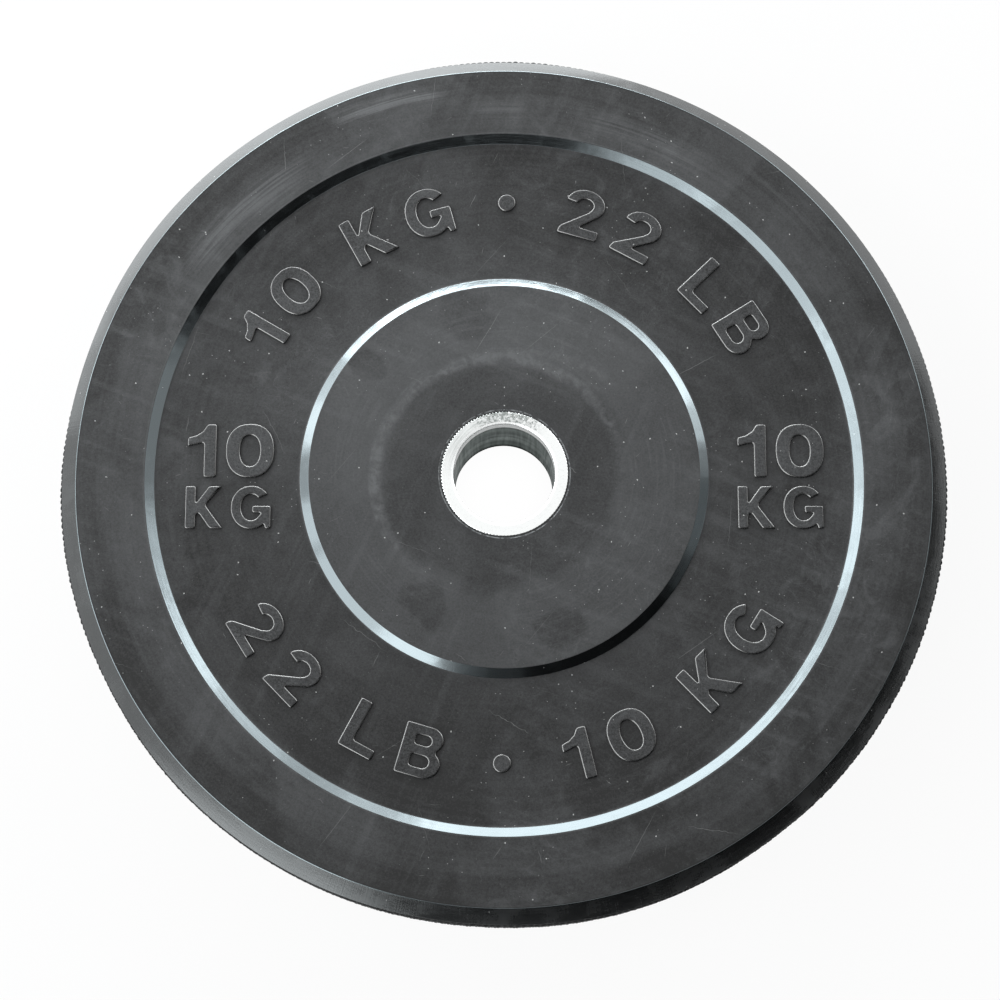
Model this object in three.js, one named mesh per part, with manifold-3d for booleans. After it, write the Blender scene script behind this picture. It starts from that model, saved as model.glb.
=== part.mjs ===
// A bumper plate for a barbell: a rubber disc moulded round a perforated steel insert.
// Millimetres, +Z up. The plate lies flat, its axis is the Z axis, and the origin is its centre,
// halfway through its thickness. Both faces are alike.

import * as THREE from "three";
import { mergeVertices } from "three/addons/utils/BufferGeometryUtils.js";
import Module from "manifold-3d";

const wasm = await Module();
wasm.setup();

// Rubber disc
const PLATE_RADIUS = 225;
const RIM_THICKNESS = 48;
const CHAMFER_WIDTH = 8.9;
const CHAMFER_DEPTH = 9.6;
const RIM_WIDTH = 34.4;
const RECESS_DEPTH = 3.5;
const RECESS_WALL_RUN = 5.1;
const HUB_RADIUS = 98.3;
const HUB_HEIGHT = 4;
const HUB_WALL_RUN = 5.1;
const EDGE_EASE = 0.8;
const BORE_EDGE_BEVEL = 0.5;

// Knurl of the tread, the band round the disc's circumference: rows of low pyramids on diamonds,
// each row half a diamond further round than the one below. The real diamonds are half as wide.
const KNURL_HEIGHT = 0.8;
const KNURL_PITCH = 6.3;
const KNURL_ROW_PITCH = 9.6;

// Insert sleeve, which fits the 50 mm end of a barbell and stands a little proud of the hub
const BORE_RADIUS = 25.4;
const SLEEVE_WALL = 6.6;
const SLEEVE_PROUD = 0.3;
const SLEEVE_EDGE_BEVEL = 0.4;
const LEAD_IN_WIDTH = 1.5;
const LEAD_IN_DEPTH = 3;

// Anchor flange: a perforated disc round the middle of the sleeve, with a weld on each side
const FLANGE_WIDTH = 28;
const FLANGE_THICKNESS = 4;
const FLANGE_HOLE_RADIUS = 6;
const FLANGE_HOLE_COUNT = 8;
const WELD_LEG = 3.5;

// Gap between pieces that touch on the real plate
const SEAT_GAP = 0.3;

// Facets
const DISC_SEGMENTS = 96;
const SLEEVE_SEGMENTS = 48;
const HOLE_SEGMENTS = 16;
const LEAD_IN_STEPS = 5;

// Heights above the middle of the plate, and the radii that follow from the widths
const rimZ = RIM_THICKNESS / 2;
const chamferZ = rimZ - CHAMFER_DEPTH;
const webZ = rimZ - RECESS_DEPTH;
const hubZ = webZ + HUB_HEIGHT;
const sleeveZ = hubZ + SLEEVE_PROUD;
const treadRootRadius = PLATE_RADIUS - KNURL_HEIGHT;
const rimRadius = treadRootRadius - CHAMFER_WIDTH;
const lipRadius = rimRadius - RIM_WIDTH;
const sleeveRadius = BORE_RADIUS + SLEEVE_WALL;
const rubberBoreRadius = sleeveRadius + SEAT_GAP;
const flangeRadius = sleeveRadius + FLANGE_WIDTH;
const weldToeRadius = sleeveRadius + WELD_LEG;
const weldSeatZ = FLANGE_THICKNESS / 2 + SEAT_GAP;
const holeCircleRadius = (weldToeRadius + flangeRadius) / 2;

const point = (radius, height) => new THREE.Vector2(radius, height);

// The lower half of a profile that is given from its middle upwards, in the order of a full outline
function mirrored(profile) {
  return profile.map((p) => point(p.x, -p.y)).reverse();
}

// A corner replaced by a bevel, which starts the same distance to both sides of it
function eased(before, corner, after, distance) {
  return [before, after].map((neighbour) => {
    const side = neighbour.clone().sub(corner);
    const step = Math.min(distance, side.length() / 2);
    return corner.clone().add(side.setLength(step));
  });
}

// A closed three.js geometry as a solid for joining and cutting
function toSolid(geometry) {
  const bare = geometry.clone();
  bare.deleteAttribute("normal");
  bare.deleteAttribute("uv");
  const merged = mergeVertices(bare);
  return new wasm.Manifold(
    new wasm.Mesh({
      numProp: 3,
      vertProperties: new Float32Array(merged.attributes.position.array),
      triVerts: new Uint32Array(merged.index.array),
    }),
  );
}

function toGeometry(solid) {
  const mesh = solid.getMesh();
  const geometry = new THREE.BufferGeometry();
  geometry.setAttribute("position", new THREE.BufferAttribute(mesh.vertProperties, 3));
  geometry.setIndex(new THREE.BufferAttribute(mesh.triVerts, 1));
  geometry.computeVertexNormals();
  return geometry;
}

// A closed surface made of rings of vertices round Z, which may hold different numbers of them.
// Shift turns a ring by that share of the step between its vertices.
class RingSurface {
  positions = [];
  triangles = [];

  vertex(radius, turns, height) {
    const angle = 2 * Math.PI * turns;
    this.positions.push(radius * Math.cos(angle), radius * Math.sin(angle), height);
    return this.positions.length / 3 - 1;
  }

  ring(radius, height, count, shift = 0) {
    const vertices = [];
    for (let i = 0; i < count; i += 1) {
      vertices.push(this.vertex(radius, (i + shift) / count, height));
    }
    return { vertices, shift };
  }

  // Fills the band between two rings, always stepping along the ring that lags behind
  join(lower, upper) {
    const at = (ring, i) => ring.vertices[i % ring.vertices.length];
    const turns = (ring, i) => (i + ring.shift) / ring.vertices.length;
    let i = 0;
    let j = 0;
    while (i < lower.vertices.length || j < upper.vertices.length) {
      const lowerLags = turns(lower, i + 1) <= turns(upper, j + 1);
      if (j === upper.vertices.length || (i < lower.vertices.length && lowerLags)) {
        this.triangles.push(at(lower, i), at(lower, i + 1), at(upper, j));
        i += 1;
      } else {
        this.triangles.push(at(lower, i), at(upper, j + 1), at(upper, j));
        j += 1;
      }
    }
  }

  // A fan of triangles from the corners of a face to its raised tip
  raise(corners, tip) {
    corners.forEach((corner, i) => {
      this.triangles.push(corner, corners[(i + 1) % corners.length], tip);
    });
  }

  solid() {
    const geometry = new THREE.BufferGeometry();
    geometry.setAttribute("position", new THREE.Float32BufferAttribute(this.positions, 3));
    geometry.setIndex(this.triangles);
    return toSolid(geometry);
  }
}

// A ring turned round Z. Its closed outline runs up the outside and down the inside.
function turned(outline, segments) {
  const geometry = new THREE.LatheGeometry([...outline, outline[0]], segments);
  return toSolid(geometry.rotateX(Math.PI / 2));
}

// A plain ring between two radii, centred on the middle of the plate
function ring(innerRadius, outerRadius, thickness) {
  const z = thickness / 2;
  const corners = [
    point(innerRadius, -z),
    point(outerRadius, -z),
    point(outerRadius, z),
    point(innerRadius, z),
  ];
  return turned(corners, SLEEVE_SEGMENTS);
}

// The upright pins that fill the holes of the anchor flange
function holePins(radius, thickness) {
  const pins = [];
  for (let i = 0; i < FLANGE_HOLE_COUNT; i += 1) {
    const angle = (2 * Math.PI * i) / FLANGE_HOLE_COUNT;
    const pin = new THREE.CylinderGeometry(radius, radius, thickness, HOLE_SEGMENTS);
    pin.rotateX(Math.PI / 2);
    pin.translate(holeCircleRadius * Math.cos(angle), holeCircleRadius * Math.sin(angle), 0);
    pins.push(toSolid(pin));
  }
  return wasm.Manifold.union(pins);
}

// The flange, or with some growth the room that it takes in the rubber: larger all round, with the
// inner edge kept and the holes smaller
function flangeSolid(innerRadius, growth) {
  const thickness = FLANGE_THICKNESS + 2 * growth;
  const blank = ring(innerRadius, flangeRadius + growth, thickness);
  return blank.subtract(holePins(FLANGE_HOLE_RADIUS - growth, 2 * thickness));
}

// The room that both welds take in the rubber, clear of their slopes by the seat gap all along
function weldRoom() {
  const seatZ = weldSeatZ - SEAT_GAP;
  const leg = WELD_LEG + (1 + Math.SQRT2) * SEAT_GAP;
  const side = [point(sleeveRadius + leg, seatZ), point(sleeveRadius, seatZ + leg)];
  return turned([...mirrored(side), ...side], SLEEVE_SEGMENTS);
}

// The teeth between the two chamfers. Half rows of diamond corners alternate in shift, each diamond
// spans two of them, and the half diamonds along both edges have three corners.
// Returns the rings of corners along both edges.
function addKnurl(surface) {
  const count = Math.round((2 * Math.PI * PLATE_RADIUS) / KNURL_PITCH);
  const halfRows = 2 * Math.max(1, Math.round((2 * chamferZ) / KNURL_ROW_PITCH));
  const rowZ = (k) => chamferZ * ((2 * k) / halfRows - 1);
  const rings = [];
  for (let k = 0; k <= halfRows; k += 1) {
    rings.push(surface.ring(treadRootRadius, rowZ(k), count, k % 2 === 0 ? 1 / 2 : 0));
  }
  const corner = (k, i) => rings[k].vertices[(i + count) % count];
  for (let k = 0; k <= halfRows; k += 1) {
    const even = k % 2 === 0;
    for (let i = 0; i < count; i += 1) {
      const left = even ? corner(k, i - 1) : corner(k, i);
      const right = even ? corner(k, i) : corner(k, i + 1);
      const below = k > 0 ? [corner(k - 1, i)] : [];
      const above = k < halfRows ? [corner(k + 1, i)] : [];
      const tipZ = (rowZ(k) + rowZ(Math.max(k - 1, 0)) + rowZ(Math.min(k + 1, halfRows))) / 3;
      const tip = surface.vertex(PLATE_RADIUS, (i + (even ? 0 : 1 / 2)) / count, tipZ);
      surface.raise([left, ...below, right, ...above], tip);
    }
  }
  return { low: rings[0], high: rings[halfRows] };
}

// One face of the disc, from the chamfer inwards to the bore, with eased edges
function faceOutline() {
  const treadEdge = point(treadRootRadius, chamferZ);
  const rimEdge = point(rimRadius, rimZ);
  const lip = point(lipRadius, rimZ);
  const recessFoot = point(lipRadius - RECESS_WALL_RUN, webZ);
  const hubFoot = point(HUB_RADIUS + HUB_WALL_RUN, webZ);
  const hubEdge = point(HUB_RADIUS, hubZ);
  const boreEdge = point(rubberBoreRadius, hubZ);
  return [
    ...eased(treadEdge, rimEdge, lip, EDGE_EASE),
    ...eased(rimEdge, lip, recessFoot, EDGE_EASE),
    recessFoot,
    hubFoot,
    ...eased(hubFoot, hubEdge, boreEdge, EDGE_EASE),
    ...eased(hubEdge, boreEdge, point(rubberBoreRadius, 0), BORE_EDGE_BEVEL),
  ];
}

// The pocket for the flange opens into the bore, and the rubber runs through it as one pin per hole
function rubberDisc() {
  const surface = new RingSurface();
  const knurl = addKnurl(surface);
  const face = faceOutline();
  const inner = [...face, ...mirrored(face)].map((p) => surface.ring(p.x, p.y, DISC_SEGMENTS));
  const rings = [knurl.high, ...inner, knurl.low];
  for (let i = 1; i < rings.length; i += 1) {
    surface.join(rings[i - 1], rings[i]);
  }
  return surface.solid().subtract(flangeSolid(sleeveRadius, SEAT_GAP)).subtract(weldRoom());
}

// A quarter of an ellipse leads from the end face into the bore
function leadIn() {
  const points = [];
  for (let i = 0; i <= LEAD_IN_STEPS; i += 1) {
    const angle = (Math.PI / 2) * (i / LEAD_IN_STEPS);
    points.push(
      point(
        BORE_RADIUS + LEAD_IN_WIDTH * (1 - Math.sin(angle)),
        sleeveZ - LEAD_IN_DEPTH * (1 - Math.cos(angle)),
      ),
    );
  }
  return points;
}

// The sleeve with its two welds, between which the flange sits
function insertSleeve() {
  const half = [
    point(sleeveRadius, weldSeatZ),
    point(weldToeRadius, weldSeatZ),
    point(sleeveRadius, weldSeatZ + WELD_LEG),
    point(sleeveRadius, sleeveZ - SLEEVE_EDGE_BEVEL),
    point(sleeveRadius - SLEEVE_EDGE_BEVEL, sleeveZ),
    ...leadIn(),
  ];
  return turned([...mirrored(half), ...half], SLEEVE_SEGMENTS);
}

function anchorFlange() {
  return flangeSolid(sleeveRadius + SEAT_GAP, 0);
}

const rubber = new THREE.MeshStandardMaterial({ color: 0x47484a, roughness: 0.6, metalness: 0 });
const turnedSteel = new THREE.MeshStandardMaterial({ color: 0xd2d5d4, roughness: 0.3, metalness: 1 });
const sheetSteel = new THREE.MeshStandardMaterial({ color: 0x8b8d8e, roughness: 0.5, metalness: 1 });

const plate = new THREE.Group();
const pieces = [
  ["rubber_disc", rubberDisc(), rubber],
  ["insert_sleeve", insertSleeve(), turnedSteel],
  ["anchor_flange", anchorFlange(), sheetSteel],
];
for (const [name, solid, material] of pieces) {
  const mesh = new THREE.Mesh(toGeometry(solid), material);
  mesh.name = name;
  plate.add(mesh);
}

export default plate;
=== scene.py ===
# A rubber bumper plate with a steel insert, lying flat. Metres, +Z up, in the frame's own axes.

import math
import random

import bpy
from mathutils import Matrix, Vector, noise

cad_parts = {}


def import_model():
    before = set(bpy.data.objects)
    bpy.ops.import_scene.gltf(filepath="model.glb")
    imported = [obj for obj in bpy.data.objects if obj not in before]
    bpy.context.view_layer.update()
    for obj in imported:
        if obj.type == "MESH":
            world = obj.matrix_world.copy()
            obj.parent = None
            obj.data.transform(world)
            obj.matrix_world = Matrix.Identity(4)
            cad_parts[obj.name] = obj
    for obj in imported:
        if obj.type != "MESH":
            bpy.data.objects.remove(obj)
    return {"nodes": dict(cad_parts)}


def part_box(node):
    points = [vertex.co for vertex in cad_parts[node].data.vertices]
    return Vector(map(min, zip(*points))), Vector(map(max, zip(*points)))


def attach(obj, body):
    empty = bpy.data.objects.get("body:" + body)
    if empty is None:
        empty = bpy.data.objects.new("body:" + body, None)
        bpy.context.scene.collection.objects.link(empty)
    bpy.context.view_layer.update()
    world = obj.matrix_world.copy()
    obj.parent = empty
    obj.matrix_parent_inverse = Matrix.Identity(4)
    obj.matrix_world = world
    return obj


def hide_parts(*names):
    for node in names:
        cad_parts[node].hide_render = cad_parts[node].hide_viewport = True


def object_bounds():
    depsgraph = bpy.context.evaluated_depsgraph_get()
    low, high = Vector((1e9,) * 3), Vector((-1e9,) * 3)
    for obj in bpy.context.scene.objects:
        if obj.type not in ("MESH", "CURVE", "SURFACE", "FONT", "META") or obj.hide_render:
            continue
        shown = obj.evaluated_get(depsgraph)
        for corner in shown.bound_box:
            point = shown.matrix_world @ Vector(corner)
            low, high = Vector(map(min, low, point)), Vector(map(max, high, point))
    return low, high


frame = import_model()
cad_low, cad_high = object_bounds()

MM = 0.001
random.seed(11)

# Sizes that the frame gives
disc_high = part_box("rubber_disc")[1]
sleeve_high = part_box("insert_sleeve")[1]
PLATE_RADIUS = disc_high[0]
HUB_Z = disc_high[2]
SLEEVE_Z = sleeve_high[2]

# Rubber disc, as the solids have it, but with the knurl a little deeper and the chamfer smaller by as much
KNURL_HEIGHT = 1.1 * MM
HUB_HEIGHT = 4.0 * MM
RECESS_DEPTH = 3.5 * MM
CHAMFER_WIDTH = 8.6 * MM
CHAMFER_DEPTH = 9.3 * MM
RIM_WIDTH = 34.4 * MM
RECESS_WALL_RUN = 5.1 * MM
HUB_RADIUS = 98.3 * MM
HUB_WALL_RUN = 5.1 * MM
ROOT_RADIUS = PLATE_RADIUS - KNURL_HEIGHT
RIM_RADIUS = ROOT_RADIUS - CHAMFER_WIDTH
LIP_RADIUS = RIM_RADIUS - RIM_WIDTH
FOOT_RADIUS = LIP_RADIUS - RECESS_WALL_RUN
HUB_FOOT_RADIUS = HUB_RADIUS + HUB_WALL_RUN
WEB_Z = HUB_Z - HUB_HEIGHT
RIM_Z = WEB_Z + RECESS_DEPTH
CHAMFER_Z = RIM_Z - CHAMFER_DEPTH
DISC_SEGMENTS = 512
ARC_STEPS = 6
# A face counts as flat where its normal's height is above this, and beside the chamfer above the second
FLAT_NORMAL = 0.86
FLAT_NORMAL_BY_CHAMFER = 0.995

# Insert sleeve, with a serrated outer edge, and the rubber's ragged flash round it
BORE_RADIUS = 25.4 * MM
SLEEVE_RADIUS = 32.0 * MM
LEAD_IN_WIDTH = 1.5 * MM
LEAD_IN_DEPTH = 3.0 * MM
LEAD_IN_CORNER = (0.25 * MM, 0.48 * MM)
SLEEVE_ROUNDINGS = (0.35 * MM, 0.5 * MM, 0.4 * MM, 2.0 * MM)
BORE_FINISH_RADIUS = BORE_RADIUS + LEAD_IN_CORNER[0] + 0.08 * MM
SERRATIONS = 120
SERRATION_STEPS = 8
SERRATION_DEPTH = 0.8 * MM
SERRATION_WIDTH = 0.45 * MM
SERRATION_HEIGHT = 0.5 * MM
LEAST_SERRATION = 0.15
SERRATED_SIDE = math.radians(145)
FLASH_RADIUS = 33.3 * MM
FLASH_GROOVE_HALF_WIDTH = 0.6 * MM
FLASH_GROOVE_DEPTH = 0.15 * MM
FLASH_RAGGEDNESS = 0.3 * MM
# The ragged part of the flash: how far in its middle lies, how far it reaches from there, how fine its noise is
FLASH_MIDDLE = 0.7 * MM
FLASH_REACH = 1.1 * MM
FLASH_NOISE = 14

# Knurl of the tread: diamonds in rows, each second row half a diamond further round. It lies in a groove of the body,
# whose edge is worn as well
KNURL_AROUND = 448
KNURL_ROWS = 6
KNURL_MARGIN = 0.3 * MM
TREAD_THICKNESS = 1.0 * MM
GROOVE_DEPTH = 1.2 * MM
WORN_EDGE_WIDTH = 1.6 * MM
# A tooth's levels above its root, as shares of its width and its height, and how much of its height may be left
KNURL_LEVELS = ((0.6, 0.68), (0.28, 1.0))
TOOTH_LEFT = (0.7, 1.0)

# Flats that drops have worn into the tread: azimuth and spread in degrees, depth
FLATS = (
    (128, 9, 0.2 * MM),
    (162, 10, 1.5 * MM),
    (208, 8, 0.85 * MM),
    (240, 11, 0.25 * MM),
    (266, 10, 1.1 * MM),
    (306, 6, 0.65 * MM),
    (325, 6, 0.25 * MM),
)

# How much of the knurl's height is left: in full round some azimuths, given with their spread in degrees, less on the
# side towards -Y, and least elsewhere
SHARP_KNURL = ((354, 11), (89, 6), (182, 8))
HALF_WORN_KNURL = 0.85
HALF_WORN_FADE = 0.15
WORN_KNURL = 0.32

# Raised marks on the web: plain weights, beside the hub and on two arcs
MARK_HEIGHT = 1.3 * MM
MARK_BEVEL = 1.0 * MM
MARK_SINK = 0.9 * MM
MARK_CORNER = 1.3 * MM
MARK_TOP_NORMAL = 0.96
SHARP_ANGLE = math.radians(30)
BLUNT_SHARE = 0.4
BLUNT_STEPS = 3
NUMBER_CAP = 27.5 * MM
UNIT_CAP = 22.0 * MM
ARC_CAP = 26.0 * MM
SIDE_GAP_SHARE = 0.16
ARC_GAP_SHARE = 0.36
SIDE_MARK_X = 138.8 * MM
NUMBER_MIDDLE_Y = 12.6 * MM
UNIT_MIDDLE_Y = -16.6 * MM
UPPER_ARC_RADIUS = 131.0 * MM
LOWER_ARC_RADIUS = 158.0 * MM

# The camera of the photograph, solved from the plate's rings
CAMERA_PLACE = (-9.0 * MM, -247.4 * MM, 1139.9 * MM)
CAMERA_TILT = math.radians(11.84)
CAMERA_YAW = math.radians(-0.34)
CAMERA_LENS = 81.86
CAMERA_SENSOR = 36.0

# Softboxes round the plate, as its bright slopes show them: azimuths and elevations in degrees, distance, radiance
SOFTBOXES = (
    ((21, 32), (0, 34), 3.0, 2.2),
    ((32, 48), (0, 30), 3.0, 5.6),
    ((48, 60), (-1, 12), 3.0, 4.5),
    ((48, 60), (12, 28), 3.0, 2.9),
    ((60, 73), (-2, 11), 3.0, 3.6),
    ((60, 73), (11, 27), 3.0, 1.4),
    ((71, 82), (-1, 7), 1.35, 11.0),
    ((71, 82), (7, 30), 1.35, 1.95),
    ((80, 121), (-1, 7), 1.3, 18.0),
    ((121, 134), (-1, 7), 1.3, 7.5),
    ((80, 134), (7, 33), 1.3, 5.2),
    ((134, 146), (0, 32), 3.0, 3.1),
    ((146, 160), (0, 16), 3.0, 4.9),
    ((146, 160), (16, 36), 3.0, 5.5),
    ((160, 176), (0, 20), 3.0, 0.8),
    ((160, 176), (20, 40), 3.0, 3.8),
    ((176, 190), (4, 24), 3.0, 2.8),
    ((176, 190), (24, 46), 3.0, 3.8),
    ((190, 224), (7, 48), 3.0, 2.75),
    ((224, 246), (8, 30), 3.0, 4.8),
    ((224, 244), (30, 50), 3.0, 2.4),
)

# Lit panels just over the floor, as the lowest slopes show them: azimuth, from and to which radius, width, radiance
PANELS = (
    (118, (0.19, 1.00), 0.395, 1.44),
    (98, (0.75, 1.28), 0.90, 4.5),
    (162, (0.27, 0.52), 0.08, 0.8),
    (236, (0.30, 1.05), 0.27, 2.35),
)
PANEL_LIFT = 2 * MM
LAMP_COLOUR = (0.95, 0.985, 1.0)

CURTAIN_RADIUS = 2.8
INNER_CURTAIN_RADIUS = CURTAIN_RADIUS - 0.05
CURTAIN_FOOT_RADIUS = 0.36
CURTAIN_LIFT = 1 * MM
CURTAIN_STEPS = 24
DARK = 0.01
# Curtains on the other side, in strips: azimuths, two ends as radius and height, shade. First the high one, then a
# low one that is paler towards -Y, a lower one just inside it that is paler towards +X, and their feet on the floor
CURTAINS = (
    ((252.5, 352), (CURTAIN_RADIUS, 1.7), (CURTAIN_RADIUS, 3.4), DARK),
    ((254, 263), (CURTAIN_RADIUS, 0.0), (CURTAIN_RADIUS, 1.7), 0.35),
    ((263, 277), (CURTAIN_RADIUS, 0.0), (CURTAIN_RADIUS, 1.7), 0.14),
    ((277, 352), (CURTAIN_RADIUS, 0.0), (CURTAIN_RADIUS, 1.7), DARK),
    ((262, 336), (INNER_CURTAIN_RADIUS, 0.0), (INNER_CURTAIN_RADIUS, 0.8), DARK),
    ((336, 347), (INNER_CURTAIN_RADIUS, 0.0), (INNER_CURTAIN_RADIUS, 0.95), 0.25),
    ((347, 372), (INNER_CURTAIN_RADIUS, 0.0), (INNER_CURTAIN_RADIUS, 0.95), 0.55),
    ((247, 263), (CURTAIN_FOOT_RADIUS, 0.0), (CURTAIN_RADIUS, 0.0), DARK),
    ((263, 279), (CURTAIN_FOOT_RADIUS, 0.0), (CURTAIN_RADIUS, 0.0), 0.1),
    ((279, 381), (CURTAIN_FOOT_RADIUS, 0.0), (CURTAIN_RADIUS, 0.0), DARK),
)
WORLD_LIGHT = 0.1
FLOOR_SIZE = 12.0
FLOOR_SHADE = 0.95
# How white the floor shows inside the bore and outside it: to the camera, and in the gloss of the object
FLOOR_RING = (BORE_RADIUS, 2 * BORE_RADIUS)
FLOOR_WHITE = ((1.0, 0.93), (0.4, 0.84))
FLOOR_DROP = 0.05 * MM

# How dusty the faces are by radius, in millimetres
DUST_BY_RADIUS = (
    (34, 0.23),
    (55, 0.25),
    (66, 0.48),
    (97, 0.40),
    (106, 0.22),
    (130, 0.15),
    (172, 0.13),
    (182, 0.32),
    (197, 0.26),
    (205, 0.12),
    (215, 0.13),
)

# The pale rings that collars have scuffed on the hub: middle, radius and width in millimetres, side, how pale. A side
# is an azimuth in degrees, and the cosines of the angle from it at which the side starts and is full
SCUFF_RADIUS = 63.0 * MM
SCUFF_WANDER = 7.0 * MM
SCUFF_RINGS = (
    ((-2.8, -2.0), 62.0, 4.6, (110, -0.75, 0.2), 0.66),
    ((7.0, -13.0), 76.0, 4.0, (82, 0.60, 0.95), 0.50),
    ((-2.2, -1.2), 65.5, 1.2, (185, 0.1, 0.8), 0.22),
)

# Darker spots on the hub that stayed clean: place and radius in millimetres
CLEAN_SPOTS = (
    (-19, 83, 14.5),
    (24, -80, 13),
    (-39, -63, 11),
    (-69, 58, 9),
)

# Pale scuffs along the rim: azimuth, radius in millimetres, spread in degrees, width in millimetres, how pale
RIM_SCUFFS = (
    (107, 207, 10, 7, 0.8),
    (134, 193, 15, 12, 0.6),
    (91, 192, 5, 9, 0.30),
    (68, 192, 12, 10, 0.35),
    (45, 205, 10, 4, 0.2),
)

# The way to the side of the faces that gets painted light, and the side of the rim by its lip that gets painted shade
PAINTED_LIGHT_SIDE = (-0.55, 0.83, 0)
PAINTED_SHADE_RIM_SIDE = (303, 0.55, 0.95)

# Sides of the insert's near end: one with a coarse skin, one satin, and one where the bore's mouth gets painted shade
COARSE_SIDE = (85, 0.74, 0.985)
SATIN_SIDE = (122, 0.35, 0.92)
PAINTED_SHADE_MOUTH_SIDE = (232, 0.35, 0.75)
# Heights in the bore over which its mouth becomes bright, polished and with a painted highlight, and over which its
# far edge gets painted shade
BORE_MOUTH = (17.5 * MM, 19.3 * MM)
BORE_FAR_EDGE = (-20.0 * MM, -21.2 * MM)


# Outlines and meshes

def rounded(corners, radii):
    """An open outline whose inner corners are arcs: radii holds one radius for each inner corner."""
    result = [Vector(corners[0])]
    for before, corner, after, radius in zip(corners, corners[1:], corners[2:], radii):
        corner = Vector(corner)
        back = (Vector(before) - corner).normalized()
        ahead = (Vector(after) - corner).normalized()
        half = back.angle(ahead) / 2
        centre = corner + (back + ahead).normalized() * (radius / math.sin(half))
        start = corner + back * (radius / math.tan(half)) - centre
        end = corner + ahead * (radius / math.tan(half)) - centre
        turn = start.angle(end)
        for step in range(ARC_STEPS + 1):
            share = step / ARC_STEPS
            arm = (start * math.sin((1 - share) * turn) + end * math.sin(share * turn)) / math.sin(turn)
            result.append(centre + arm)
    result.append(Vector(corners[-1]))
    return [(p.x, p.y) for p in result]


def mirrored(outline):
    return [(r, -z) for r, z in reversed(outline)]


def add_object(name, data):
    piece = bpy.data.objects.new(name, data)
    bpy.context.scene.collection.objects.link(piece)
    return piece


def new_object(name, vertices, faces, smooth=True):
    mesh = bpy.data.meshes.new(name)
    mesh.from_pydata([tuple(v) for v in vertices], [], faces)
    mesh.validate()
    mesh.polygons.foreach_set("use_smooth", [smooth] * len(mesh.polygons))
    mesh.update()
    return add_object(name, mesh)


def bridge(faces, lower, upper):
    """Joins two rings of vertices that go round the same way and hold as many."""
    count = len(lower)
    for i in range(count):
        j = (i + 1) % count
        faces.append((lower[i], lower[j], upper[j], upper[i]))


def revolve(outline, count, place):
    """A closed surface of revolution, whose outline runs up the outside and down the inside.

    Place may move a point: it gets the radius, the height and the angle, and returns a radius and a height.
    """
    vertices, rings, faces = [], [], []
    for radius, height in outline:
        rings.append(range(len(vertices), len(vertices) + count))
        for i in range(count):
            angle = 2 * math.pi * i / count
            r, z = place(radius, height, angle)
            vertices.append((r * math.cos(angle), r * math.sin(angle), z))
    for lower, upper in zip(rings, rings[1:] + rings[:1]):
        bridge(faces, lower, upper)
    return vertices, faces


def paint(piece, materials, choose):
    """Gives a piece its materials, and each of its faces the one that choose picks for it."""
    for material in materials:
        piece.data.materials.append(material)
    for face in piece.data.polygons:
        face.material_index = materials.index(choose(face))


# Rubber disc

def bell(angle, azimuth, spread):
    """A smooth hump round one azimuth: 1 at its middle."""
    away = (math.degrees(angle) - azimuth + 180) % 360 - 180
    return math.exp(-0.5 * (away / spread) ** 2)


def flat_depth(angle):
    return sum(depth * bell(angle, azimuth, spread) for azimuth, spread, depth in FLATS)


def knurl_share(angle):
    sharp = sum(bell(angle, azimuth, spread) for azimuth, spread in SHARP_KNURL)
    front = HALF_WORN_KNURL * min(1.0, max(0.0, -math.sin(angle) / HALF_WORN_FADE))
    return max(front, WORN_KNURL + (1 - WORN_KNURL) * min(1.0, sharp))


def face_outline():
    """The upper face's outline, from the tread's groove to the seat of the insert."""
    seat = SLEEVE_RADIUS - 0.1 * MM
    corners = [
        (ROOT_RADIUS - GROOVE_DEPTH, CHAMFER_Z - KNURL_MARGIN),
        (ROOT_RADIUS, CHAMFER_Z - KNURL_MARGIN),
        (ROOT_RADIUS, CHAMFER_Z),
        (RIM_RADIUS, RIM_Z),
        (LIP_RADIUS, RIM_Z),
        (FOOT_RADIUS, WEB_Z),
        (HUB_FOOT_RADIUS, WEB_Z),
        (HUB_RADIUS, HUB_Z),
        (FLASH_RADIUS, HUB_Z),
        (FLASH_RADIUS - FLASH_GROOVE_HALF_WIDTH, HUB_Z - FLASH_GROOVE_DEPTH),
        (FLASH_RADIUS - 2 * FLASH_GROOVE_HALF_WIDTH, HUB_Z),
        (seat, HUB_Z - 0.1 * MM),
        (seat, HUB_Z - 1.5 * MM),
    ]
    radii = [size * MM for size in (0.1, 0.3, 0.8, 0.8, 2.6, 2.2, 0.8, 0.3, 0.2, 0.3, 0.1)]
    return rounded(corners, radii)


def worn_shape(radius, height, angle):
    """Moves the edge of the tread in where it is worn, along the chamfer's slope, and makes the flash ragged."""
    if radius > ROOT_RADIUS - WORN_EDGE_WIDTH:
        depth = flat_depth(angle)
        if abs(height) > CHAMFER_Z - 0.5 * KNURL_MARGIN:
            height += math.copysign(depth * CHAMFER_DEPTH / CHAMFER_WIDTH, height)
        return radius - depth, height
    share = max(0.0, 1 - abs(radius - FLASH_RADIUS + FLASH_MIDDLE) / FLASH_REACH)
    if abs(height) < HUB_Z - 1.0 * MM:
        share = 0.0
    spot = Vector((math.cos(angle), math.sin(angle), math.copysign(1, height))) * FLASH_NOISE
    coarse, fine = noise.noise(spot), noise.noise(spot * 4)
    radius += share * FLASH_RAGGEDNESS * (0.8 * coarse + 0.8 * fine)
    height += share * FLASH_RAGGEDNESS * 0.5 * fine * math.copysign(1, height)
    return radius, math.copysign(min(abs(height), HUB_Z), height)


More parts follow.
